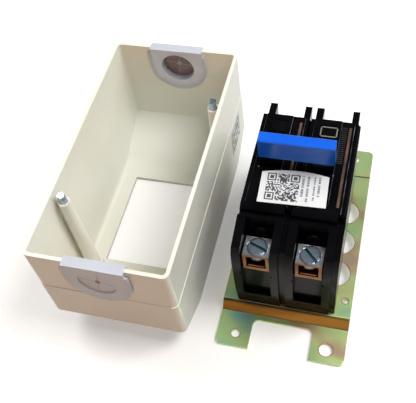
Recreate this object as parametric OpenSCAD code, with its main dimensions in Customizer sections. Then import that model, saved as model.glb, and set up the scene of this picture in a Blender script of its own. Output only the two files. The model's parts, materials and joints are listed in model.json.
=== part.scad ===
// Two-pole bolt-on circuit breaker on a joggled steel plate, with its surface cover
// lying face down beside it. Origin: centre of the plate, on the underside of its feet.
// X runs across the poles, Y towards the line terminals, Z away from the wall.

/* [Mounting plate] */
// Width of the steel plate
plate_w = 66.5; // [64:0.5:67.5]
// Length over the two feet
plate_l = 138; // [136:0.5:138.5]
// Sheet thickness
sheet_t = 1.5; // [1.2:0.1:2]
// Height of the joggle, feet underside to main level underside
joggle_h = 5; // [4.5:0.1:6]
// Distance from the centre to each foot hole across the plate
foot_hole_x = 23.5; // [22.5:0.1:24]
// Distance from the centre to each foot hole along the plate
foot_hole_y = 62; // [60:0.5:64]

/* [Breaker] */
// Width of one pole
pole_w = 25; // [25:0.1:25.4]
// Height of the front face above the plate
body_h = 60; // [59:0.5:62]
// Wall thickness of the moulded case
case_wall = 2; // [1.8:0.1:2.2]
// Thickness of the side cover of each pole
lid_t = 3; // [2.8:0.1:3.4]
// Width of the box lug
lug_w = 12.6; // [11.5:0.1:13]
// Swing of the operating handle from OFF to ON in degrees
handle_swing = 20; // [16:1:20]

/* [Cover] */
// Outside width of the cover
cover_w = 72; // [71.5:0.5:74]
// Outside length of the cover
cover_l = 143; // [143:0.5:148]
// Outside depth of the cover at its deep face
cover_d = 72.4; // [70:0.2:76]
// How far the two ends are shallower than the deep face
end_rise = 16; // [12:0.5:18]
// Wall thickness of the cover
cover_wall = 2.2; // [2:0.1:2.3]
// Distance from the plate centre to the middle of the lying cover
cover_gap_x = 81.7; // [78:0.1:100]

/* [Hidden] */

$fn = 48;
eps = 0.01;

// Levels and plate details
plate_top = joggle_h + sheet_t;
bend_r = 1;
web_run = 3.8;
web_y = 45.8;
notch_w = 31.4;
notch_y = 52.4;
corner_cut = 3;
wall_bolt_r = 3.5;
wall_screw_r = 2.25;
side_hole_r = 8;
side_hole_x = 22;
side_hole_pitch = 19.7;
cover_post_x = 29.5;
cover_post_y = 35.5;
tapped_r = 1.65;
collar_r = 3.25;
collar_h = 1.2;

// Breaker outline, levels above the feet
face_z = plate_top + body_h;
face_far = 34;
face_near = -22.5;
step_y = -25.5;
step_z = face_z - 2;
groove_far = -26;
groove_near = -29.5;
groove_z = face_z - 3.8;
ridge = [-29.8, face_z - 0.5];
brow = [-45.5, face_z - 5];
near_y = -48;
base_near = -45;
pocket_w = 14;
pocket_floor = 43;
pocket_back = -30.5;
panel_y = -44.3;
panel_foot = 20;
lid_setback = 1.7;
lid_drop = 1;
edge_drop = 0.6;
band_drop = 0.5;
strip_drop = 1.4;
ear_far = 47.2;
ear_top = 60;
ear_foot = 40;
ears = [[1.2, 5], [20, 23.5]];

// Handle
pivot = [6, 48];
handle_lean = 6;
hub_r = 6;
hub_w = 9;
shield_r = 13;
shield_t = 1.4;
shield_span = 38;
pin_r = 1.5;
fit = 0.05;
shank_t = 5;
slot_w = 11.2;
slot_near = -0.5;
slot_far = pivot[0] + (face_z - pivot[1]) * tan(handle_swing - handle_lean) + shank_t / 2 + 0.9;
bar_x = [-20.7, 15.8];
bar_foot = 24.2;
bar_h = 14;
bar_t = 6;
bar_round = 0.8;

// Contact arm, line side and arc chute
arm_pivot = [0, 34];
arm_swing = 1.1 * handle_swing;
contact_y = 21.5;
contact_z = 17;
contact_gap = 0.3;
moving_contact_h = 1.4;
arm_t = 4;
arm_hub_r = 4;
strap_z = 13.5;
strap_t = 1.5;
strap_w = 12;
strap_leg = 30.5;
tab_z = 49;
tab_far = 46.5;
tab_hole_r = 2.75;
tab_hole_y = 40.5;
chute_count = 6;
chute_pitch = 3.6;

// Trip parts
trip_axis = [-18, 38];
trip_r = 2;
lever_pivot = [-4, 51];
bimetal_y = -24.6;
yoke_z = 20;
yoke_h = 12;

// Load side
lug_d = 10.5;
lug_h = 13;
lug_y = -40.05;
lug_side = 1.6;
lug_wall = 2.4;
lug_roof = 1.6;
screw_len = 5;
screw_gap = 0.35;
lug_screw_r = 4.8;
screw_slot = 1.5;
calib_z = 55;
rivet_r = 1.6;
rivet_sink = 1;
rivet_spots = [[-40.5, 14], [28.8, 9.6], [28.5, 58.8], [-24, 58]];
base_screw_y = [10, -34];
base_screw_r = 2;
screw_end = 12;
boss_r = 3.6;
lever_pin_r = 1.2;

// Cover
slope_y = 38;
cover_c = [-cover_gap_x, -1.7];
post_top = cover_d - plate_top;
window_w = 49;
window_y = [-30.5, 28.5];
waist_z = 43.5;
waist_step = 0.3;
grommet_w = 33.4;
grommet_h = 29.2;
grommet_r = 16.7;
groove_d = 1.6;
flange_t = 1.6;
flange_drop = 3.2;
membrane_r = 9.5;
membrane_drop = grommet_h - grommet_r;
membrane_depth = 0.8;
membrane_t = 0.8;
cover_screw_r = 2;
cover_bore_r = 2.1;

pole_x = [-pole_w, 0];
pole_c = [11.2 - pole_w, 11.2];
toggle_c = [10 - pole_w, 10];

// ---------- helpers ----------

// Extrude a [y, z] outline along X from x0 to x1
module along_x(x0, x1) {
    translate([x0, 0, 0]) rotate([90, 0, 90]) linear_extrude(x1 - x0) children();
}

// Cylinder whose axis lies along X at [y, z]
module rod_x(x0, x1, at, r) {
    translate([x0, at[0], at[1]]) rotate([0, 90, 0]) cylinder(h = x1 - x0, r = r);
}

// Box given by its two corners
module box(a, b) {
    translate(a) cube(b - a);
}

// Rectangle centred on the origin with arc corners
module round_rect(w, l, r) {
    square([w - 2 * r, l], center = true);
    square([w, l - 2 * r], center = true);
    for (x = [-1, 1], y = [-1, 1])
        translate([x * (w / 2 - r), y * (l / 2 - r)]) circle(r);
}

// Points along an arc
function arc(c, r, a0, a1, n = 6) =
    [for (i = [0:n]) let (a = a0 + (a1 - a0) * i / n) [c[0] + r * cos(a), c[1] + r * sin(a)]];

// Turn a [y, z] shape about a point
module turned(at, angle) {
    translate([0, at[0], at[1]]) rotate([angle, 0, 0]) translate([0, -at[0], -at[1]]) children();
}

// ---------- mounting plate ----------

web_angle = atan2(joggle_h, web_run);
bend_in = bend_r * tan(web_angle / 2);
bend_out = (bend_r + sheet_t) * tan(web_angle / 2);
upper_c = [web_y - bend_out, plate_top - bend_r - sheet_t];
lower_c = [web_y + web_run + bend_in, sheet_t + bend_r];

// Half of the joggled section, from the centre to one foot
module half_joggle() {
    polygon(concat(
        [[-1, joggle_h], [-1, plate_top]],
        arc(upper_c, bend_r + sheet_t, 90, 90 - web_angle),
        arc(lower_c, bend_r, 270 - web_angle, 270),
        [[plate_l / 2, sheet_t], [plate_l / 2, 0]],
        arc(lower_c, bend_r + sheet_t, 270, 270 - web_angle),
        arc(upper_c, bend_r, 90 - web_angle, 90)));
}

module plate_blank() {
    intersection() {
        along_x(-plate_w / 2, plate_w / 2) {
            half_joggle();
            mirror([1, 0]) half_joggle();
        }
        linear_extrude(plate_top + 1) difference() {
            round_rect(plate_w, plate_l, corner_cut);
            for (s = [-1, 1])
                translate([0, s * (notch_y + 25)]) round_rect(notch_w, 50, corner_cut);
        }
    }
    for (s = [-1, 1])
        translate([s * cover_post_x, -s * cover_post_y, joggle_h - collar_h])
            cylinder(h = collar_h + eps, r = collar_r);
}

module mounting_plate() {
    color([0.78, 0.80, 0.50]) difference() {
        plate_blank();
        for (s = [-1, 1]) {
            translate([s * foot_hole_x, -s * foot_hole_y, -1]) cylinder(h = 4, r = wall_bolt_r);
            translate([-s * foot_hole_x, -s * foot_hole_y, -1]) cylinder(h = 4, r = wall_screw_r);
            translate([s * cover_post_x, -s * cover_post_y, 0])
                cylinder(h = 10, r = tapped_r);
            for (k = [-1:1])
                translate([s * side_hole_x, k * side_hole_pitch, 0])
                    cylinder(h = 10, r = side_hole_r);
        }
        for (x = pole_c, y = base_screw_y)
            translate([x, y, 0]) cylinder(h = 10, r = base_screw_r + 0.2);
    }
}

// Four pan-head screws from under the plate into the floor of the cases
module breaker_screws() {
    color([0.8, 0.8, 0.82]) for (x = pole_c, y = base_screw_y)
        translate([x, y, 0]) difference() {
            union() {
                translate([0, 0, joggle_h - 2.2]) cylinder(h = 2.2, r = 3.5);
                translate([0, 0, joggle_h - 1]) cylinder(h = screw_end - joggle_h + 0.5, r = base_screw_r);
            }
            for (a = [0, 90]) rotate([0, 0, a])
                translate([-2, -0.4, joggle_h - 2.3]) cube([4, 0.8, 1.3]);
        }
}

// ---------- moulded case of a pole ----------

// Side outline of a pole
module pole_outline() {
    polygon([[base_near, plate_top], [near_y + 0.5, 25], [near_y, 50], [near_y + 0.6, 58], brow,
             ridge, [groove_near, groove_z], [groove_far, groove_z], [step_y, step_z],
             [face_near, face_z], [face_far, face_z], [face_far, plate_top]]);
}

// The flat side cover is set back in the terminal area and sits lower on the face
module lid_outline() {
    intersection() {
        pole_outline();
        translate([lid_setback, -lid_drop]) pole_outline();
        translate([-60, plate_top]) square([60 + face_far, 80]);
    }
    translate([base_near + 2, plate_top]) square([face_far - base_near - 2, 12]);
}

// Space for the mechanism
module cavity_outline() {
    w = case_wall;
    polygon([[base_near + 2.6, 9.5], [panel_y + w, 22], [panel_y + w, pocket_floor - w],
             [pocket_back + w, pocket_floor - w], [pocket_back + w, groove_z - 2.2],
             [groove_far + w, groove_z - 2.2], [step_y + w, face_z - 3.2],
             [face_far - w, face_z - 3.2], [face_far - w, 9.5]]);
}

// Levels, seam strip and bevels along the front face
module face_relief(x0) {
    box([x0 - 1, face_near - 5, face_z - edge_drop], [x0 + 2.2, face_far + 1, face_z + 1]);
    box([x0 + 15.6, face_near + 3.6, face_z - band_drop], [x0 + 22, face_far + 1, face_z + 1]);
    box([x0 + 19.5, face_near + 3.6, face_z - strip_drop], [x0 + 21, face_far - 3, face_z + 1]);
    translate([x0 + pole_w - 1.1, 0, face_z - lid_drop]) rotate([0, 45, 0])
        box([0, groove_far, -0.4], [4, 60, 4]);
    // frame moulded around the position mark behind the handle
    for (e = [[5, 14, 22.2, 22.7], [5, 14, 30, 30.5], [5, 5.5, 22.2, 30.5], [13.5, 14, 22.2, 30.5]])
        box([x0 + e[0], e[2], face_z - 0.4], [x0 + e[1], e[3], face_z + 1]);
}

// Pocket of the box lug with the recess behind it and the panel below it
module lug_pocket(xc) {
    box([xc - pocket_w / 2, near_y - 1, pocket_floor], [xc + pocket_w / 2, pocket_back, face_z + 1]);
    box([xc - pocket_w / 2, near_y - 1, panel_foot], [xc + pocket_w / 2, panel_y, pocket_floor + 1]);
    box([xc - pocket_w / 2 - 0.8, near_y - 1, pocket_floor - 1.2],
        [xc + pocket_w / 2 + 0.8, panel_y - 1.2, pocket_floor + 0.4]);
    // arched window to the calibration screw
    translate([xc, pocket_back - 1, calib_z]) rotate([-90, 0, 0]) cylinder(h = 1.8, r = 4.4);
    box([xc - 4.4, pocket_back - 1, calib_z - 6], [xc + 4.4, pocket_back + 0.8, calib_z]);
    translate([xc, pocket_back, calib_z]) rotate([-90, 0, 0]) cylinder(h = 4, r = 1.6);
}

// Shape of one whole pole before it is split into case and side cover
module pole_body(x0) {
    xc = x0 + 11.2;
    xt = x0 + 10;
    difference() {
        union() {
            along_x(x0, x0 + pole_w - lid_t) pole_outline();
            along_x(x0 + pole_w - lid_t, x0 + pole_w) lid_outline();
            for (e = ears) box([x0 + e[0], face_far - 1, ear_foot], [x0 + e[1], ear_far, ear_top]);
        }
        difference() {
            along_x(x0 + case_wall, x0 + pole_w - case_wall) cavity_outline();
            for (p = rivet_spots) rod_x(x0, x0 + pole_w, p, rivet_r + 1.2);
            for (y = base_screw_y) translate([xc, y, 0]) cylinder(h = 13, r = boss_r);
        }
        face_relief(x0);
        lug_pocket(xc);
        // small notch between the poles at the step
        box([x0 + pole_w - 3.7, step_y - 1, face_z - 4], [x0 + pole_w - 1.2, face_near, face_z + 1]);
        // handle slot, line strap slot and load strap slot
        box([xt - slot_w / 2, slot_near, face_z - 6], [xt + slot_w / 2, slot_far, face_z + 1]);
        box([xc - strap_w / 2, face_far - 3, tab_z], [xc + strap_w / 2, face_far + 1, tab_z + strap_t]);
        box([xc - 4, pocket_back - 1, pocket_floor + lug_wall],
            [xc + 4, pocket_back + 3, pocket_floor + lug_wall + 1.2]);
        // bearing holes, rivet holes and base screw holes
        rod_x(-pole_w + 0.5, pole_w - 0.5, pivot, pin_r);
        rod_x(x0 + 0.5, x0 + pole_w - 0.5, arm_pivot, pin_r);
        rod_x(x0 + 0.5, x0 + pole_w - 0.5, lever_pivot, lever_pin_r);
        rod_x(-pole_w + 1, pole_w - 1, trip_axis, trip_r + fit);
        for (p = rivet_spots) {
            rod_x(x0 - 1, x0 + pole_w + 1, p, rivet_r);
            rod_x(-pole_w - 1, -pole_w + rivet_sink, p, 2.8);
            rod_x(pole_w - rivet_sink, pole_w + 1, p, 2.8);
        }
        for (y = base_screw_y) translate([xc, y, 0]) cylinder(h = screw_end, r = base_screw_r);
    }
}

// Tray-shaped case: everything of the pole up to the parting plane
module pole_case(x0) {
    color([0.09, 0.09, 0.10]) intersection() {
        pole_body(x0);
        box([x0 - 1, -60, 0], [x0 + pole_w - lid_t, 60, 80]);
    }
}

// Side cover: the rest of the pole beyond the parting plane
module pole_side_cover(x0) {
    color([0.11, 0.10, 0.10]) intersection() {
        pole_body(x0);
        box([x0 + pole_w - lid_t, -60, 0], [x0 + pole_w + 1, 60, 80]);
    }
}

// Four long rivets through both poles, with formed heads
module case_rivets() {
    color([0.75, 0.6, 0.35]) for (p = rivet_spots) {
        rod_x(-pole_w + rivet_sink, pole_w - rivet_sink, p, rivet_r);
        for (s = [-1, 1]) translate([s * (pole_w - rivet_sink), p[0], p[1]])
            rotate([0, s * 90, 0]) cylinder(h = rivet_sink - 0.2, r1 = 2.6, r2 = 2);
    }
}

// ---------- load side ----------

// Box lug: a short rectangular tube with a tapped top
module lug(xc) {
    color([0.85, 0.86, 0.88]) translate([xc, lug_y, pocket_floor]) difference() {
        translate([-lug_w / 2, -lug_d / 2, 0]) cube([lug_w, lug_d, lug_h]);
        translate([-lug_w / 2 + lug_side, -lug_d, lug_wall])
            cube([lug_w - 2 * lug_side, 2 * lug_d, lug_h - lug_wall - lug_roof]);
        translate([0, 0, lug_h - screw_len - 0.6])
            cylinder(h = screw_len + 1, r = lug_screw_r + fit);
        translate([0, 0, lug_h - 0.8]) cylinder(h = 2, r = lug_screw_r + screw_gap);
    }
}

// Flat slotted clamping screw
module lug_screw(xc, angle) {
    color([0.75, 0.8, 0.86]) translate([xc, lug_y, pocket_floor]) difference() {
        union() {
            translate([0, 0, lug_h - screw_len]) cylinder(h = screw_len, r = lug_screw_r);
            translate([0, 0, lug_h - 0.1]) cylinder(h = 0.5, r = lug_screw_r - 0.4);
        }
        rotate([0, 0, angle])
            translate([-lug_screw_r - 1, -screw_slot / 2, lug_h - 0.9])
                cube([2 * lug_screw_r + 2, screw_slot, 2]);
    }
}

// Copper strap from the lug to the foot of the bimetal
module load_strap(xc) {
    z = pocket_floor + lug_wall;
    color([0.80, 0.50, 0.32]) {
        box([xc - 4, lug_y - lug_d / 2 + 0.4, z], [xc + 4, bimetal_y, z + 1.2]);
        box([xc - 3.5, bimetal_y - 1.2, z - 8], [xc + 3.5, bimetal_y, z + 0.1]);
    }
}

// Slotted screw that sets the bimetal, seen at the back of the lug pocket
module calibration_screw(xc) {
    color([0.55, 0.68, 0.78]) translate([xc, pocket_back - 0.6, calib_z]) rotate([-90, 0, 0])
        difference() {
            union() {
                cylinder(h = 1.4, r = 3.2);
                cylinder(h = 4.6, r = 1.6);
            }
            rotate([0, 0, 25]) translate([-4, -0.4, -0.1]) cube([8, 0.8, 0.9]);
        }
}

// Bimetal strip hanging from the load strap
module bimetal(xc) {
    color([0.7, 0.66, 0.6])
        box([xc - 3.5, bimetal_y, 15], [xc + 3.5, bimetal_y + 1, pocket_floor + lug_wall + 1]);
}

// U-shaped magnet yoke behind the bimetal
module magnet_yoke(xc) {
    color([0.55, 0.56, 0.58]) difference() {
        box([xc - 6.2, bimetal_y - 2.4, yoke_z], [xc + 6.2, bimetal_y + 2.8, yoke_z + yoke_h]);
        box([xc - 5, bimetal_y - 1.2, yoke_z - 1], [xc + 5, bimetal_y + 4, yoke_z + yoke_h + 1]);
    }
}

// Armature plate that hangs from the trip bar
module armature(xc) {
    color([0.6, 0.6, 0.62]) difference() {
        box([xc - 6, trip_axis[0] - 1.7, yoke_z - 0.5], [xc + 6, trip_axis[0] - 0.5, trip_axis[1]]);
        rod_x(xc - 8, xc + 8, trip_axis, trip_r);
    }
}

// Common trip bar with one latch finger for each pole
module trip_bar() {
    color([0.86, 0.84, 0.76]) {
        rod_x(-pole_w + case_wall + 1, pole_w - case_wall - 1, trip_axis, trip_r);
        for (xc = pole_c)
            box([xc - 3, trip_axis[0] - 0.8, trip_axis[1] + 1],
                [xc + 3, trip_axis[0] + 0.8, trip_axis[1] + 8]);
    }
}

// Latched lever of the trip mechanism
module trip_lever(xc) {
    color([0.66, 0.66, 0.68]) difference() {
        union() {
            along_x(xc - 1, xc + 1) translate(lever_pivot) circle(3);
            along_x(xc - 1, xc + 1)
                polygon([[lever_pivot[0] - 1.6, lever_pivot[1] + 1.6],
                         [lever_pivot[0] - 1.4, lever_pivot[1] - 1.9],
                         [-14, 45.4], [-15.8, 45.4], [-15.8, 48]]);
        }
        along_x(xc - 2, xc + 2) translate(lever_pivot) circle(lever_pin_r + fit);
    }
}

// Steel pins for the trip levers, one in each pole
module lever_pins() {
    color([0.7, 0.7, 0.72]) for (x0 = pole_x)
        rod_x(x0 + 0.5, x0 + pole_w - 0.5, lever_pivot, lever_pin_r);
}

// ---------- contacts ----------

// Direction of the closed contact arm
arm_reach = [contact_y - arm_pivot[0], contact_z + contact_gap + moving_contact_h - arm_pivot[1]];

module arm_outline() {
    c = arm_reach;
    difference() {
        union() {
            circle(arm_hub_r);
            polygon([[-1.5, arm_hub_r - 0.3], [-2.6, -3], [c[0] - 3, c[1]], [c[0] + 3, c[1]],
                     [c[0] + 3, c[1] + 3.4]]);
        }
        circle(pin_r + fit);
    }
}

// Contact arm, drawn closed and then swung open to the OFF position
module contact_arm(xc) {
    color([0.82, 0.52, 0.34]) turned(arm_pivot, arm_swing) along_x(xc - arm_t / 2, xc + arm_t / 2)
        translate(arm_pivot) arm_outline();
}

module moving_contact(xc) {
    color([0.85, 0.85, 0.86]) turned(arm_pivot, arm_swing)
        translate([xc, contact_y, contact_z + contact_gap]) cylinder(h = moving_contact_h, r = 2.5);
}

module fixed_contact(xc) {
    color([0.85, 0.85, 0.86]) translate([xc, contact_y, strap_z + strap_t])
        cylinder(h = contact_z - strap_z - strap_t, r = 3);
}

// Line strap: fixed contact carrier inside, bolt-on tab outside
module line_strap(xc) {
    color([0.80, 0.50, 0.32]) difference() {
        along_x(xc - strap_w / 2, xc + strap_w / 2) {
            polygon([[contact_y - 3.5, strap_z], [strap_leg + strap_t, strap_z],
                     [strap_leg + strap_t, tab_z], [tab_far, tab_z], [tab_far, tab_z + strap_t],
                     [strap_leg, tab_z + strap_t], [strap_leg, strap_z + strap_t],
                     [contact_y - 3.5, strap_z + strap_t]]);
        }
        translate([xc, tab_hole_y, tab_z - 1]) cylinder(h = 5, r = tab_hole_r);
    }
}

// Stack of notched steel plates that split the arc
module arc_plates(xc) {
    color([0.6, 0.6, 0.62]) for (i = [0:chute_count - 1])
        translate([xc, 0, contact_z + 1.6 + i * chute_pitch]) difference() {
            box([-7.4, 18, 0], [7.4, strap_leg - 0.4, 1]);
            box([-3.5, 17, -1], [3.5, 28.6, 2]);
        }
}

// Fibre side sheets that hold the arc plates
module chute_frame(xc) {
    color([0.72, 0.66, 0.5]) for (s = [-1, 1])
        translate([xc + s * 8 - 0.6, 18, strap_z + strap_t])
            cube([1.2, strap_leg - 18, 24]);
}

// Steel pins for the contact arms, one in each pole
module arm_pins() {
    color([0.7, 0.7, 0.72]) for (x0 = pole_x)
        rod_x(x0 + 0.5, x0 + pole_w - 0.5, arm_pivot, pin_r);
}

// Centre line of the flat copper braid from the bimetal to the arm
braid_route = [[-22.9, 17.6], [-21.5, 14.8], [-18.6, 12.6], [-15, 11.7], [-11.5, 12.2],
               [-8.4, 14.2], [-6, 17.4], [-4.4, 21.2], [-3.5, 25.4], [-3.2, 29.2]];
braid_t = 1.2;
braid_w = 5;

// Point i of the centre line moved sideways by d
function beside(i, d) =
    let (n = len(braid_route) - 1, a = braid_route[max(0, i - 1)], b = braid_route[min(n, i + 1)],
         v = (b - a) / norm(b - a))
    braid_route[i] + d * [-v[1], v[0]];

module braid(xc) {
    n = len(braid_route) - 1;
    color([0.84, 0.56, 0.38]) along_x(xc - braid_w / 2, xc + braid_w / 2)
        polygon(concat([for (i = [0:n]) beside(i, braid_t / 2)],
                       [for (i = [n:-1:0]) beside(i, -braid_t / 2)]));
}

// ---------- handle ----------

// Closely wound coil spring under the hub of the toggle
module main_spring(xc) {
    color([0.72, 0.73, 0.75]) turned(pivot, handle_lean)
        translate([xc, pivot[0], pivot[1] - hub_r - 0.43]) rotate_extrude()
            for (i = [0:3]) translate([2.1, -i * 0.75]) circle(0.42, $fn = 16);
}

// Hub, neck and slot shield of a toggle, drawn upright
module toggle_outline() {
    difference() {
        union() {
            circle(hub_r);
            polygon([[-4.6, 2], [4.6, 2], [shank_t / 2, bar_foot + 0.6], [-shank_t / 2, bar_foot + 0.6]]);
            polygon(concat(arc([0, 0], shield_r + shield_t, 90 - shield_span, 90 + shield_span, 16),
                           arc([0, 0], shield_r, 90 + shield_span, 90 - shield_span, 16)));
        }
        circle(pin_r + fit);
    }
}

module toggle(xc) {
    color([0.08, 0.30, 0.85]) turned(pivot, handle_lean)
        along_x(xc - hub_w / 2, xc + hub_w / 2) translate(pivot) toggle_outline();
}

// Common handle bar that sits over both toggles
module handle_bar() {
    zc = pivot[1] + bar_foot;
    color([0.10, 0.36, 0.92]) turned(pivot, handle_lean) difference() {
        translate([0, pivot[0], zc]) along_x(bar_x[0], bar_x[1])
            translate([0, bar_h / 2]) round_rect(bar_t, bar_h, bar_round);
        for (xc = toggle_c)
            along_x(xc - hub_w / 2, xc + hub_w / 2) translate(pivot) toggle_outline();
    }
}

// Through pin on which both toggles turn
module handle_pin() {
    color([0.7, 0.7, 0.72]) rod_x(-pole_w + 0.5, pole_w - 0.5, pivot, pin_r);
}

// Paper label on the front face, laid slightly askew, with an arched far edge
module breaker_label() {
    color([0.93, 0.93, 0.92]) translate([-1.2, -21, face_z]) rotate([0, 0, 2.5])
        linear_extrude(0.2) intersection() {
            translate([-16.2, 0]) square([32.4, 20]);
            translate([0, 20 - 62.5]) circle(62.5, $fn = 180);
        }
}

// ---------- cover ----------

slope_angle = atan2(end_rise, cover_l / 2 - slope_y);

// Long side view of the cover, shrunk evenly by w
module cover_side(w) {
    y_end = cover_l / 2 - w;
    y_kink = slope_y - w * tan(slope_angle / 2);
    z_end = w + (y_end - y_kink) * tan(slope_angle);
    polygon([[-y_kink, w], [y_kink, w], [y_end, z_end], [y_end, cover_d + w],
             [-y_end, cover_d + w], [-y_end, z_end]]);
}

// End view of the cover with rounded long edges
module cover_end(w, r) {
    translate([0, w + 50]) round_rect(cover_w - 2 * w, 100, r);
}

module cover_block(w, r_plan, r_edge) {
    intersection() {
        along_x(-cover_w / 2, cover_w / 2) cover_side(w);
        linear_extrude(cover_d + w) round_rect(cover_w - 2 * w, cover_l - 2 * w, r_plan);
        translate([0, cover_l / 2, 0]) rotate([90, 0, 0])
            linear_extrude(cover_l) cover_end(w, r_edge);
    }
}

// Fine step all round the outside: the skin below it stands slightly proud
module waist() {
    translate([0, 0, waist_z]) linear_extrude(cover_d) difference() {
        square([cover_w + 2, cover_l + 2], center = true);
        round_rect(cover_w - 2 * waist_step, cover_l - 2 * waist_step, 3.4);
    }
}

// Outline of a grommet in its wall, hanging from the rim
module grommet_outline(shrink) {
    w = grommet_w - 2 * shrink;
    h = grommet_h - shrink;
    r = grommet_r - shrink;
    intersection() {
        translate([0, cover_d - h + r]) circle(r, $fn = 96);
        translate([-w, cover_d - h]) square([2 * w, h]);
    }
    translate([-w / 2, cover_d - h + r]) square([w, h - r]);
}

// Extrude a shape drawn in the end wall, from y0 to y1
module along_y(y0, y1) {
    translate([0, y1, 0]) rotate([90, 0, 0]) linear_extrude(y1 - y0) children();
}

module cover_shell() {
    color([0.93, 0.90, 0.80]) translate(concat(cover_c, 0)) difference() {
        union() {
            difference() {
                cover_block(0, 3.5, 4.5);
                cover_block(cover_wall, 1.6, 2.6);
                waist();
            }
            intersection() {
                cover_block(0.4, 3.5, 4.5);
                for (s = [-1, 1]) translate([s * cover_post_x, s * cover_post_y, 0]) {
                    cylinder(h = 7, r = 5.8);
                    cylinder(h = post_top, r1 = 4.4, r2 = 3.2);
                    box([min(0, s * 5), -0.8, 1], [max(0, s * 5), 0.8, post_top - 6]);
                }
            }
        }
        box([-window_w / 2, window_y[0], -1], [window_w / 2, window_y[1], 4]);
        for (s = [-1, 1]) {
            translate([s * cover_post_x, s * cover_post_y, -1]) {
                cylinder(h = 5.2, r = 4.1);
                cylinder(h = cover_d, r = cover_bore_r);
            }
            along_y(s > 0 ? cover_l / 2 - 5 : -cover_l / 2 - 1, s > 0 ? cover_l / 2 + 1 : -cover_l / 2 + 5)
                grommet_outline(groove_d);
        }
    }
}

// Flange of a grommet: it starts a little below the rim, the web runs up to the rim
module grommet_flange() {
    intersection() {
        grommet_outline(0);
        translate([-grommet_w, 0]) square([2 * grommet_w, cover_d - flange_drop]);
    }
    grommet_outline(groove_d);
}

// Cable grommet for an end wall: two flanges, a web in the wall and a thin membrane
module grommet(s) {
    y_out = s * (cover_l / 2 + flange_t);
    y_in = s * (cover_l / 2 - cover_wall - flange_t);
    y_face = s * cover_l / 2;
    y_back = s * (cover_l / 2 - cover_wall);
    z_mid = cover_d - membrane_drop;
    color([0.88, 0.87, 0.93]) translate(concat(cover_c, 0)) difference() {
        union() {
            along_y(min(y_face, y_out), max(y_face, y_out)) grommet_flange();
            along_y(min(y_back, y_in), max(y_back, y_in)) grommet_flange();
            along_y(min(y_face, y_back), max(y_face, y_back)) grommet_outline(groove_d);
        }
        // the membrane lies close to the outer face
        translate([0, y_out, z_mid]) rotate([s * 90, 0, 0])
            cylinder(h = membrane_depth, r = membrane_r);
        translate([0, y_out - s * (membrane_depth + membrane_t), z_mid]) rotate([s * 90, 0, 0])
            cylinder(h = 10, r = membrane_r);
    }
}

module near_grommet() {
    grommet(-1);
}

module far_grommet() {
    grommet(1);
}

// Long captive screw through a post of the cover
module cover_screw(s) {
    color([0.82, 0.82, 0.84])
        translate([cover_c[0] + s * cover_post_x, cover_c[1] + s * cover_post_y, 0]) difference() {
            union() {
                translate([0, 0, 1.2]) cylinder(h = 2.7, r = 3.7);
                translate([0, 0, 3]) cylinder(h = post_top + 2, r = cover_screw_r);
            }
            for (a = [0, 90]) rotate([0, 0, a]) translate([-2.2, -0.4, 1]) cube([4.4, 0.8, 1.5]);
        }
}

module near_cover_screw() {
    cover_screw(-1);
}

module far_cover_screw() {
    cover_screw(1);
}

// Square-code sticker on the flank of the cover that faces the breaker
module cover_label() {
    color([0.9, 0.9, 0.88]) translate([cover_c[0] + cover_w / 2, cover_c[1] + 40.5, 21])
        cube([0.2, 18, 20]);
}

mounting_plate();
breaker_screws();
case_rivets();
pole_case(pole_x[0]);  // left_case
pole_side_cover(pole_x[0]);  // left_side_cover
lug(pole_c[0]);  // left_lug
lug_screw(pole_c[0], -20);  // left_lug_screw
load_strap(pole_c[0]);  // left_load_strap
calibration_screw(pole_c[0]);  // left_calibration_screw
bimetal(pole_c[0]);  // left_bimetal
magnet_yoke(pole_c[0]);  // left_magnet_yoke
armature(pole_c[0]);  // left_armature
trip_lever(pole_c[0]);  // left_trip_lever
contact_arm(pole_c[0]);  // left_contact_arm
moving_contact(pole_c[0]);  // left_moving_contact
fixed_contact(pole_c[0]);  // left_fixed_contact
line_strap(pole_c[0]);  // left_line_strap
arc_plates(pole_c[0]);  // left_arc_plates
chute_frame(pole_c[0]);  // left_chute_frame
braid(pole_c[0]);  // left_braid
main_spring(toggle_c[0]);  // left_main_spring
toggle(toggle_c[0]);  // left_toggle
pole_case(pole_x[1]);  // right_case
pole_side_cover(pole_x[1]);  // right_side_cover
lug(pole_c[1]);  // right_lug
lug_screw(pole_c[1], -45);  // right_lug_screw
load_strap(pole_c[1]);  // right_load_strap
calibration_screw(pole_c[1]);  // right_calibration_screw
bimetal(pole_c[1]);  // right_bimetal
magnet_yoke(pole_c[1]);  // right_magnet_yoke
armature(pole_c[1]);  // right_armature
trip_lever(pole_c[1]);  // right_trip_lever
contact_arm(pole_c[1]);  // right_contact_arm
moving_contact(pole_c[1]);  // right_moving_contact
fixed_contact(pole_c[1]);  // right_fixed_contact
line_strap(pole_c[1]);  // right_line_strap
arc_plates(pole_c[1]);  // right_arc_plates
chute_frame(pole_c[1]);  // right_chute_frame
braid(pole_c[1]);  // right_braid
main_spring(toggle_c[1]);  // right_main_spring
toggle(toggle_c[1]);  // right_toggle
handle_bar();
handle_pin();
arm_pins();
lever_pins();
trip_bar();
breaker_label();
cover_shell();
near_grommet();
far_grommet();
near_cover_screw();
far_cover_screw();
cover_label();
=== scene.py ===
"""Looks for the two-pole breaker on its plate, with the open cover beside it."""
import json
import math

import bpy
from mathutils import Matrix, Vector


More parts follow.
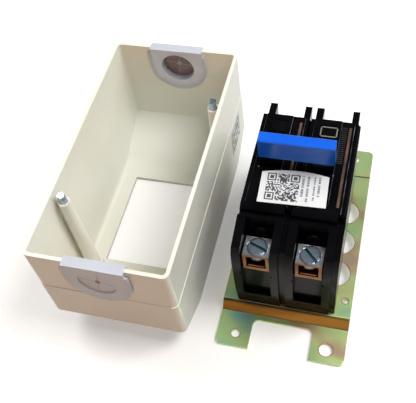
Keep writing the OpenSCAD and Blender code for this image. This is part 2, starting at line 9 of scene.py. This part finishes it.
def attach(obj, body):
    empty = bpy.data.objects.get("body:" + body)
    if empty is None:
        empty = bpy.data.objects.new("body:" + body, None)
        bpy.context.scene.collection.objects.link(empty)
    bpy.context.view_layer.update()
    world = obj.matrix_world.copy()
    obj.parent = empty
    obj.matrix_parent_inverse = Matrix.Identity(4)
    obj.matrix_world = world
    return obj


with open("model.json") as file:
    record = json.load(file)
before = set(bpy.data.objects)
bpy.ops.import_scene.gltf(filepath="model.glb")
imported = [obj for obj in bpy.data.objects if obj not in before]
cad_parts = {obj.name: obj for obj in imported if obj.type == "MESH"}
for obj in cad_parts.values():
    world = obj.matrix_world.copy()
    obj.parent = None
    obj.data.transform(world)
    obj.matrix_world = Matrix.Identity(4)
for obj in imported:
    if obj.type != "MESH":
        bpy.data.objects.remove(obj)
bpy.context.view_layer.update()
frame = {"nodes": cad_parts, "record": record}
nodes = frame["nodes"]
MM = 0.001

# Places of the solids in millimetres
POLES = {"left": -25.0, "right": 0.0}
FACE_Z = 66.5
PLATE_Z = 6.5
FOOT_Z = 1.5
LUG_X = {"left": -13.8, "right": 11.2}
LUG_Y = -40.05
SCREW_SLOT_Z = 55.12
COVER_X, COVER_Y = -81.7, -1.7
COVER_HALF_W, COVER_HALF_L = 36.0, 71.5
FLANGE_T = 1.6
MEMBRANE_Z = 59.9
MEMBRANE_R = 9.5
# from the outer flange to the middle of the membrane
MEMBRANE_DEPTH = 1.2
# thickness of a label and of the print on it
LABEL_T = 0.2
INK = 0.03

# ------------------------------------------------------------ material builder


class Look:
    """A small builder for a procedural principled material."""

    def __init__(self, name, color, rough=0.4, metal=0.0, spec=0.5):
        self.mat = bpy.data.materials.new(name)
        self.mat.use_nodes = True
        self.tree = self.mat.node_tree
        self.bsdf = self.tree.nodes["Principled BSDF"]
        self.set("Base Color", (*color, 1))
        self.set("Roughness", rough)
        self.set("Metallic", metal)
        self.set("Specular IOR Level", spec)

    def set(self, socket, value):
        self.bsdf.inputs[socket].default_value = value
        return self

    def node(self, kind, inputs=None):
        new = self.tree.nodes.new(kind)
        for name, value in (inputs or {}).items():
            new.inputs[name].default_value = value
        return new

    def link(self, a, out, b, into):
        self.tree.links.new(a.outputs[out], b.inputs[into])

    def noise(self, scale, detail=3.0, stretch=None):
        pattern = self.node("ShaderNodeTexNoise", {"Scale": scale, "Detail": detail,
                                                   "Roughness": 0.5})
        coords = self.node("ShaderNodeTexCoord")
        if stretch:
            mapping = self.node("ShaderNodeMapping", {"Scale": stretch})
            self.link(coords, "Object", mapping, "Vector")
            self.link(mapping, "Vector", pattern, "Vector")
        else:
            self.link(coords, "Object", pattern, "Vector")
        return pattern

    def tint(self, scale, stops, detail=3.0, stretch=None):
        """Base colour drifting between the colours of a ramp."""
        ramp = self.node("ShaderNodeValToRGB")
        elements = ramp.color_ramp.elements
        while len(elements) < len(stops):
            elements.new(0.5)
        for element, (position, color) in zip(elements, stops):
            element.position = position
            element.color = (*color, 1)
        self.link(self.noise(scale, detail, stretch), "Fac", ramp, "Fac")
        self.link(ramp, "Color", self.bsdf, "Base Color")
        return self

    def rough_noise(self, scale, low, high):
        span = self.node("ShaderNodeMapRange", {"To Min": low, "To Max": high})
        self.link(self.noise(scale, 4.0), "Fac", span, "Value")
        self.link(span, "Result", self.bsdf, "Roughness")
        return self

    def bump(self, scale, strength, distance=0.0002):
        relief = self.node("ShaderNodeBump", {"Strength": strength, "Distance": distance})
        self.link(self.noise(scale), "Fac", relief, "Height")
        self.link(relief, "Normal", self.bsdf, "Normal")
        return self


def rgb(r, g, b):
    """sRGB 0-255 to linear."""
    def lin(v):
        v /= 255
        return v / 12.92 if v <= 0.04045 else ((v + 0.055) / 1.055) ** 2.4
    return (lin(r), lin(g), lin(b))


# ------------------------------------------------------------------- materials

LOOKS = {}


def look(name, *args, **kw):
    LOOKS[name] = Look(name, *args, **kw)
    return LOOKS[name]


look("ivory_plastic", rgb(232, 230, 218), 0.3, spec=0.4).bump(220, 0.05).tint(
    9, [(0.3, rgb(229, 225, 210)), (0.7, rgb(236, 236, 226))])
look("black_moulding", rgb(8, 8, 10), 0.2, spec=0.08).tint(
    60, [(0.35, rgb(5, 5, 7)), (0.75, rgb(13, 12, 15))]).bump(700, 0.08, 0.0001)
look("blue_plastic", rgb(8, 92, 214), 0.3, spec=0.4).tint(
    25, [(0.3, rgb(6, 86, 206)), (0.7, rgb(12, 100, 224))])
look("zinc_screw", rgb(176, 190, 204), 0.25, 1.0).rough_noise(300, 0.18, 0.38)
look("tinned_metal", rgb(200, 202, 204), 0.3, 1.0).rough_noise(250, 0.22, 0.42)
look("copper", rgb(150, 96, 66), 0.38, 1.0).tint(
    120, [(0.3, rgb(112, 66, 44)), (0.7, rgb(172, 112, 78))])
look("cut_copper", rgb(140, 100, 68), 0.5, 0.6).tint(
    140, [(0.3, rgb(112, 76, 48)), (0.7, rgb(164, 124, 88))])
# painted shade: dark teal for the shaded floor of the screw slots
look("slot_painted_shade", rgb(42, 72, 84), 0.5, 0.6).tint(
    140, [(0.3, rgb(32, 56, 66)), (0.7, rgb(54, 92, 106))])
look("rib_black", rgb(34, 34, 38), 0.35, spec=0.4).tint(
    120, [(0.3, rgb(26, 26, 30)), (0.7, rgb(48, 48, 54))])
look("mark_grey", rgb(120, 116, 104), 0.5).tint(
    120, [(0.3, rgb(104, 100, 90)), (0.7, rgb(140, 136, 122))])
look("bimetal", rgb(160, 152, 140), 0.35, 1.0).rough_noise(200, 0.25, 0.45)
look("plain_steel", rgb(150, 152, 156), 0.35, 1.0).rough_noise(200, 0.25, 0.45)
look("silver_contact", rgb(225, 225, 222), 0.25, 1.0).rough_noise(300, 0.2, 0.4)
look("rivet_brass", rgb(62, 50, 36), 0.4, 1.0).rough_noise(300, 0.25, 0.45)
look("fibre", rgb(150, 118, 84), 0.8).bump(400, 0.3)
look("trip_plastic", rgb(214, 208, 188), 0.45).bump(300, 0.1)
look("label_paper", rgb(222, 222, 220), 0.45).tint(
    40, [(0.3, rgb(216, 216, 214)), (0.7, rgb(228, 228, 226))])
look("print_grey", rgb(120, 122, 126), 0.5).tint(
    80, [(0.3, rgb(112, 114, 118)), (0.7, rgb(132, 134, 138))])
look("print_dark", rgb(62, 62, 66), 0.5).tint(
    80, [(0.3, rgb(54, 54, 58)), (0.7, rgb(72, 72, 76))])
# painted reflection: brown strips along the glossy face of each pole
look("brown_reflection_paint", rgb(84, 62, 50), 0.4).tint(
    90, [(0.3, rgb(60, 44, 38)), (0.7, rgb(112, 84, 66))])
# painted highlight: bright glints for edge lines and slot corners of the glossy moulding
look("painted_edge_highlight", rgb(84, 86, 94), 0.3).tint(
    150, [(0.35, rgb(40, 42, 48)), (0.7, rgb(120, 124, 134))])
look("slit_dark", rgb(176, 172, 176), 0.7).tint(
    90, [(0.3, rgb(168, 163, 168)), (0.7, rgb(188, 183, 188))])
# painted shade: a dark purple-brown for the inner face of the far membrane
look("far_membrane_painted_shade", rgb(112, 92, 98), 0.3).tint(
    120, [(0.3, rgb(98, 80, 88)), (0.7, rgb(132, 110, 114))])
look("lug_shade", rgb(40, 34, 30), 0.45, 0.6).tint(
    120, [(0.3, rgb(28, 24, 22)), (0.7, rgb(62, 52, 44))])
# painted shade: darker steel for the part of the clamping screw under the lug's roof
look("screw_painted_shade", rgb(58, 60, 64), 0.3, 0.9).rough_noise(300, 0.22, 0.4)
# bluish steel, painted darker as shade for screws in the dark pockets behind the lugs
look("pocket_screw_shade", rgb(34, 48, 58), 0.25, 0.6).rough_noise(300, 0.2, 0.4)

vinyl = look("milky_vinyl", rgb(216, 219, 228), 0.35)
vinyl.set("Transmission Weight", 0.25).set("Subsurface Weight", 0.3)
vinyl.set("Subsurface Radius", (0.004, 0.004, 0.004)).set("IOR", 1.4)
vinyl.bump(150, 0.1)

# painted shade and reflection: a darker brown for the sloped bends of the plate
look("bend_painted_reflection", rgb(100, 82, 46), 0.4, 0.7, spec=0.4).tint(
    60, [(0.35, rgb(66, 52, 30)), (0.65, rgb(132, 114, 64))], stretch=(0.3, 1, 3))
look("hole_rim", rgb(170, 120, 112), 0.4, 0.6).tint(
    120, [(0.35, rgb(150, 100, 96)), (0.65, rgb(196, 150, 130))])

# yellow passivated zinc: broad drifting patches of cyan, green, yellow and pink
passivate = look("yellow_zinc_steel", rgb(176, 184, 118), 0.36, 0.7, spec=0.4)
passivate.tint(26, [(0.28, rgb(150, 206, 196)), (0.40, rgb(192, 226, 158)),
                    (0.52, rgb(208, 220, 150)), (0.62, rgb(202, 172, 140)),
                    (0.72, rgb(160, 192, 160))], 2.0, (1.0, 1.6, 1.0))
passivate.rough_noise(90, 0.22, 0.42).bump(240, 0.12, 0.0001)

# --------------------------------------------------------------- CAD node looks

# edge rounding in millimetres, where it is not the usual one
USUAL_BEVEL = 0.3
BEVELS = {"mounting_plate": 0.25, "cover_shell": 0.5, "handle_bar": 0.0, "near_grommet": 0.5,
          "far_grommet": 0.5}
LEFT_AS_THEY_ARE = ("breaker_label", "cover_label", "left_main_spring", "right_main_spring")
slots = {s["node"]: s["material_slot"] for s in frame["record"]["subparts"]}


def dress(name, obj):
    """The node's own look, and softly rounded edges."""
    obj.data.materials.clear()
    obj.data.materials.append(LOOKS[slots[name]].mat)
    if name in LEFT_AS_THEY_ARE:
        return
    weld = obj.modifiers.new("weld", "WELD")
    weld.merge_threshold = 0.00001
    width = BEVELS.get(name, USUAL_BEVEL)
    if width:
        bevel = obj.modifiers.new("bevel", "BEVEL")
        bevel.width = width * MM
        bevel.segments = 2
        bevel.limit_method = "ANGLE"
        bevel.angle_limit = math.radians(35)
        bevel.harden_normals = False
    for poly in obj.data.polygons:
        poly.use_smooth = True
    smooth = obj.modifiers.new("normals", "WEIGHTED_NORMAL")
    smooth.keep_sharp = False
    smooth.weight = 60


def tone(name, material, test):
    """Another look for the faces whose centre in millimetres and normal pass a test."""
    obj = nodes[name]
    obj.data.materials.append(LOOKS[material].mat)
    for poly in obj.data.polygons:
        if test(obj.matrix_world @ poly.center / MM, poly.normal):
            poly.material_index = len(obj.data.materials) - 1


def on_bend(at, normal):
    return 0.25 < abs(normal.y) < 0.95 and abs(normal.x) < 0.05


def on_sheared_end(at, normal):
    return abs(normal.y) > 0.9


def on_far_membrane(at, normal):
    off_axis = math.hypot(at.x - COVER_X, at.z - MEMBRANE_Z)
    in_recess = abs(at.y - COVER_Y - COVER_HALF_L) < 0.4 and off_axis < MEMBRANE_R + 0.1
    return normal.y < -0.9 and in_recess


def tone_lug(pole):
    """Copper ends, painted shade in the mouth and painted shade on the screw under the roof."""
    lug = nodes[f"{pole}_lug"]
    corners = [lug.matrix_world @ Vector(c) / MM for c in lug.bound_box]
    low_x, high_x = min(c.x for c in corners), max(c.x for c in corners)
    low_z, high_z = min(c.z for c in corners), max(c.z for c in corners)
    skin_x, skin_z, roof = 1.2, 1.0, 1.8

    def in_mouth(at, normal):
        across = low_x + skin_x < at.x < high_x - skin_x
        return across and low_z + skin_z < at.z < high_z - skin_z and abs(normal.y) < 0.9

    def below_roof(at, normal):
        return at.z < high_z - roof

    tone(f"{pole}_lug", "cut_copper", on_sheared_end)
    tone(f"{pole}_lug", "lug_shade", in_mouth)
    tone(f"{pole}_lug_screw", "screw_painted_shade", below_roof)


for node_name, node_obj in nodes.items():
    dress(node_name, node_obj)

# painted shade and reflection: the sloped bends of the plate are painted a darker brown than the
# flat film
tone("mounting_plate", "bend_painted_reflection", on_bend)
# painted shade: the inner face of the far grommet's thin membrane is painted dark purple-brown, as
# if the dark ground showed through it
tone("far_grommet", "far_membrane_painted_shade", on_far_membrane)
for pole_name in POLES:
    tone_lug(pole_name)
    # painted shade on the calibration screws in their pockets
    nodes[f"{pole_name}_calibration_screw"].data.materials[0] = LOOKS["pocket_screw_shade"].mat

# ------------------------------------------------------------------ new pieces


def mesh_piece(name, verts, faces, material, body):
    """A new piece from millimetre coordinates, riding a CAD body."""
    data = bpy.data.meshes.new(name)
    data.from_pydata([Vector(v) * MM for v in verts], [], faces)
    data.validate()
    data.update()
    obj = bpy.data.objects.new(name, data)
    bpy.context.scene.collection.objects.link(obj)
    obj.data.materials.append(LOOKS[material].mat)
    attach(obj, body)


def box_faces(s):
    """The six faces of a box whose eight corners start at number s."""
    return [(s, s + 3, s + 2, s + 1), (s + 4, s + 5, s + 6, s + 7), (s, s + 1, s + 5, s + 4),
            (s + 1, s + 2, s + 6, s + 5), (s + 2, s + 3, s + 7, s + 6), (s + 3, s, s + 4, s + 7)]


def boxes(name, list_of_boxes, material, body, turn=None):
    """One piece made of axis-aligned boxes given as (low corner, high corner)."""
    verts, faces = [], []
    for lo, hi in list_of_boxes:
        faces += box_faces(len(verts))
        for z in (lo[2], hi[2]):
            verts += [(lo[0], lo[1], z), (hi[0], lo[1], z), (hi[0], hi[1], z), (lo[0], hi[1], z)]
    if turn:
        verts = [turn @ Vector(v) for v in verts]
    mesh_piece(name, verts, faces, material, body)


def turned(degrees, axis, at):
    """A turn about an axis, then a move to a place in millimetres."""
    return Matrix.Translation(at) @ Matrix.Rotation(math.radians(degrees), 4, axis)


def circle(n):
    """The directions of n points round a circle."""
    turns = [2 * math.pi * i / n for i in range(n)]
    return [(math.cos(a), math.sin(a)) for a in turns]


def code_cells(n, seed):
    """A made-up square code: framed corner squares and a scatter of cells, no real data."""
    frame_size = 7
    far = n - frame_size
    corners = [(0, 0), (0, far), (far, far)]
    cells = []
    for i in range(n):
        for j in range(n):
            ring = None
            for ci, cj in corners:
                di, dj = i - ci, j - cj
                if -1 <= di <= frame_size and -1 <= dj <= frame_size:
                    ring = max(abs(di - 3), abs(dj - 3))
            if ring is not None:
                if ring in (0, 1, 3):
                    cells.append((i, j))
            elif (i * 13 + j * 7 + (i * j) % 5 + seed * ((i * i + 3 * j) % 7)) % 9 < 5:
                cells.append((i, j))
    return cells


def print_label():
    """Square code and four columns of grey dashes on the label, in the label's own axes."""
    place = turned(2.5, "Z", (-1.2, -21, FACE_Z + LABEL_T))
    n, side = 25, 15.8
    lo_x, lo_y, cell = -13.2, 1.7, side / n
    cells = [((lo_x + i * cell, lo_y + j * cell, 0.0),
              (lo_x + (i + 1) * cell, lo_y + (j + 1) * cell, INK)) for i, j in code_cells(n, 3)]
    boxes("label_code", cells, "print_dark", "breaker", place)
    bars = []
    top = 17.2
    # place, width and length of each column
    columns = [(3.6, 1.2, 11.5), (5.9, 1.3, 14.6), (8.8, 1.3, 14.0), (11.4, 1.1, 10.5)]
    for c, (x, wide, long) in enumerate(columns):
        y = top
        k = 0
        while y > top - long:
            step = 0.5 + 0.25 * ((k * 5 + c * 3) % 4)
            inset = 0.25 * ((k * 3 + c) % 3)
            bars.append(((x + inset, y - step, 0.0), (x + wide, y, INK)))
            y -= step + (0.28 if (k + c) % 5 else 0.9)
            k += 1
    boxes("label_lines", bars, "print_grey", "breaker", place)


print_label()


def cover_print():
    """Square code on the sticker on the flank of the cover."""
    x = COVER_X + COVER_HALF_W + LABEL_T
    pitch, ink_side = 1.3, 1.05
    cells = []
    for i, j in code_cells(12, 2):
        y, z = 39.9 + i * pitch, 22.7 + j * pitch
        cells.append(((x, y, z), (x + INK, y + ink_side, z + ink_side)))
    boxes("sticker_code", cells, "print_dark", "cover")


cover_print()


def pole_face_details():
    """Painted brown reflection strips and painted highlight lines along each pole, grip ribs and
    the frame by the handle.
    """
    strips, lines = [], []
    for x0 in POLES.values():
        strips.append(((x0 + 19.55, -18.8, FACE_Z - 1.38), (x0 + 20.95, 30.9, FACE_Z - 0.95)))
        # painted highlight lines along the edges of each pole
        lines.append(((x0 + 22.0, -22.0, FACE_Z - 1.0), (x0 + 22.25, 33.6, FACE_Z - 0.72)))
        lines.append(((x0 + 2.05, -22.0, FACE_Z - 0.62), (x0 + 2.2, 33.6, FACE_Z - 0.28)))
        lines.append(((x0 + 15.6, -18.0, FACE_Z - 0.5), (x0 + 15.78, 33.4, FACE_Z - 0.12)))
    boxes("brown_reflection_strips", strips, "brown_reflection_paint", "breaker")
    boxes("highlight_lines", lines, "painted_edge_highlight", "breaker")
    ribs = []
    for k in range(19):
        y = 7.0 + k * 1.25
        ribs.append(((16.0, y, FACE_Z - 0.52), (18.9, y + 0.55, FACE_Z - 0.3)))
    boxes("grip_ribs", ribs, "rib_black", "breaker")
    x0, x1, y0, y1, bar = 5.6, 14.2, 22.6, 29.2, 0.6
    frame_bars = []
    for lo, hi in (((x0, y0), (x1, y0 + bar)), ((x0, y1 - bar), (x1, y1)),
                   ((x0, y0), (x0 + bar, y1)), ((x1 - bar, y0), (x1, y1))):
        frame_bars.append(((*lo, FACE_Z - 0.02), (*hi, FACE_Z + 0.05)))
    boxes("position_frame", frame_bars, "mark_grey", "breaker")


pole_face_details()


def hole_rims():
    """The pinkish ring of film round each punched hole of the plate."""
    # centre, level and radius of each hole: side holes, foot holes, tapped holes
    spots = [(side * 22, k * 19.7, PLATE_Z, 8.0) for side in (-1, 1) for k in (-1, 0, 1)]
    for side in (-1, 1):
        spots.append((side * 23.5, -side * 62, FOOT_Z, 3.5))
        spots.append((-side * 23.5, -side * 62, FOOT_Z, 2.25))
        spots.append((side * 29.5, -side * 35.5, PLATE_Z, 1.65))
    verts, faces = [], []
    n = 48
    for x, y, z, r in spots:
        start = len(verts)
        for radius in (r + 0.05, r + 0.4):
            verts += [(x + radius * c, y + radius * s, z + INK) for c, s in circle(n)]
        for i in range(n):
            j = (i + 1) % n
            faces.append((start + i, start + n + i, start + n + j, start + j))
    mesh_piece("hole_rims", verts, faces, "hole_rim", "breaker")


hole_rims()


def slot_corner_highlights():
    """Painted highlights at the near corners of each handle slot."""
    glints = []
    for x0 in POLES.values():
        for x in (x0 + 4.0, x0 + 15.3):
            glints.append(((x, -1.3, FACE_Z - 0.05), (x + 0.8, -0.5, FACE_Z + 0.12)))
    boxes("slot_corner_highlights", glints, "painted_edge_highlight", "breaker")


slot_corner_highlights()


def lug_screw_slots():
    """Painted shade: a dark sheet on the floor of the slot in each clamping screw."""
    half_l, half_w, thick = 4.6, 0.72, 0.06
    for pole, angle in (("left", -20), ("right", -45)):
        place = turned(angle, "Z", (LUG_X[pole], LUG_Y, SCREW_SLOT_Z))
        boxes(f"{pole}_slot_floor_shade", [((-half_l, -half_w, 0), (half_l, half_w, thick))],
              "slot_painted_shade", f"{pole}_clamp", place)


lug_screw_slots()


def membrane_slits():
    """The cross slit and the small hub of each thin membrane."""
    half_l, half_t, half_w, hub, n = 8.8, 0.42, 0.14, 1.5, 24
    bar = [(x, y, z) for z in (-half_w, half_w)
           for x, y in ((-half_l, -half_t), (half_l, -half_t), (half_l, half_t), (-half_l, half_t))]
    for name, side in (("near", -1), ("far", 1)):
        y = COVER_Y + side * (COVER_HALF_L + FLANGE_T - MEMBRANE_DEPTH)
        verts, faces = [], []
        for angle in (8, 98):
            place = turned(angle, "Y", (COVER_X, y, MEMBRANE_Z))
            faces += box_faces(len(verts))
            verts += [place @ Vector(v) for v in bar]
        first = len(verts)
        second = first + n
        for face_y in (y - half_t, y + half_t):
            verts += [(COVER_X + hub * c, face_y, MEMBRANE_Z + hub * s) for c, s in circle(n)]
        faces += [tuple(range(first, second)), tuple(range(second + n - 1, second - 1, -1))]
        for i in range(n):
            j = (i + 1) % n
            faces.append((second + i, second + j, first + j, first + i))
        mesh_piece(f"{name}_slits", verts, faces, "slit_dark", "cover")


membrane_slits()

# ---------------------------------------------------------------- floor, light


def floor():
    """A plain pale floor. It gives the part no bounce light, so near walls stay in shade."""
    bpy.ops.mesh.primitive_plane_add(size=6, location=(0, 0, -0.0002))
    obj = bpy.context.object
    obj.name = "floor"
    pale = Look("floor_mat", rgb(236, 234, 231), 0.6)
    pale.tint(3, [(0.3, rgb(234, 232, 229)), (0.7, rgb(239, 237, 234))])
    pale.set("Emission Color", (1, 1, 1, 1)).set("Emission Strength", 0.25)
    obj.data.materials.append(pale.mat)
    obj.visible_diffuse = False


def area(name, at, size, power, color=(1, 1, 1)):
    """A soft rectangular light aimed at the middle of the part, in metres and watts."""
    data = bpy.data.lights.new(name, "AREA")
    data.shape = "RECTANGLE"
    data.size, data.size_y = size
    data.energy = power
    data.color = color
    obj = bpy.data.objects.new(name, data)
    bpy.context.scene.collection.objects.link(obj)
    obj.location = at
    obj.rotation_mode = "QUATERNION"
    toward = Vector((-0.04, 0, 0.03)) - Vector(at)
    obj.rotation_quaternion = toward.to_track_quat("-Z", "Y")


def room(color, strength):
    world = bpy.data.worlds.new("room")
    world.use_nodes = True
    background = world.node_tree.nodes["Background"]
    background.inputs["Color"].default_value = color
    background.inputs["Strength"].default_value = strength
    bpy.context.scene.world = world


floor()
area("overhead", (0.55, 0.1, 1.15), (0.5, 0.5), 11)
area("left_back", (-1.0, 0.45, 0.95), (0.7, 0.7), 11)
area("right_back", (0.95, 0.5, 0.8), (0.6, 0.6), 5)
area("right_near", (0.8, -0.6, 0.9), (0.6, 0.6), 1.5)
area("warm_near", (-0.15, -1.0, 0.2), (0.8, 0.3), 2.3, (1.0, 0.42, 0.06))
room((0.90, 0.95, 1.0, 1), 0.17)
bpy.context.scene.view_settings.view_transform = "Standard"

# ---------------------------------------------------------------------- camera


def camera(at, right, back, lens):
    """A camera at a place in metres, with its right and backward directions."""
    data = bpy.data.cameras.new("camera")
    data.sensor_width = 36
    data.lens = lens
    data.clip_start, data.clip_end = 0.01, 20
    obj = bpy.data.objects.new("camera", data)
    bpy.context.scene.collection.objects.link(obj)
    back = Vector(back).normalized()
    up = back.cross(Vector(right).normalized()).normalized()
    axes = Matrix((up.cross(back), up, back)).transposed()
    obj.matrix_world = Matrix.Translation(at) @ axes.to_4x4()
    bpy.context.scene.camera = obj


camera((0.03116, -0.19589, 0.32785), (0.9648, 0.2405, -0.1069), (0.2231, -0.5320, 0.8168), 57.95)
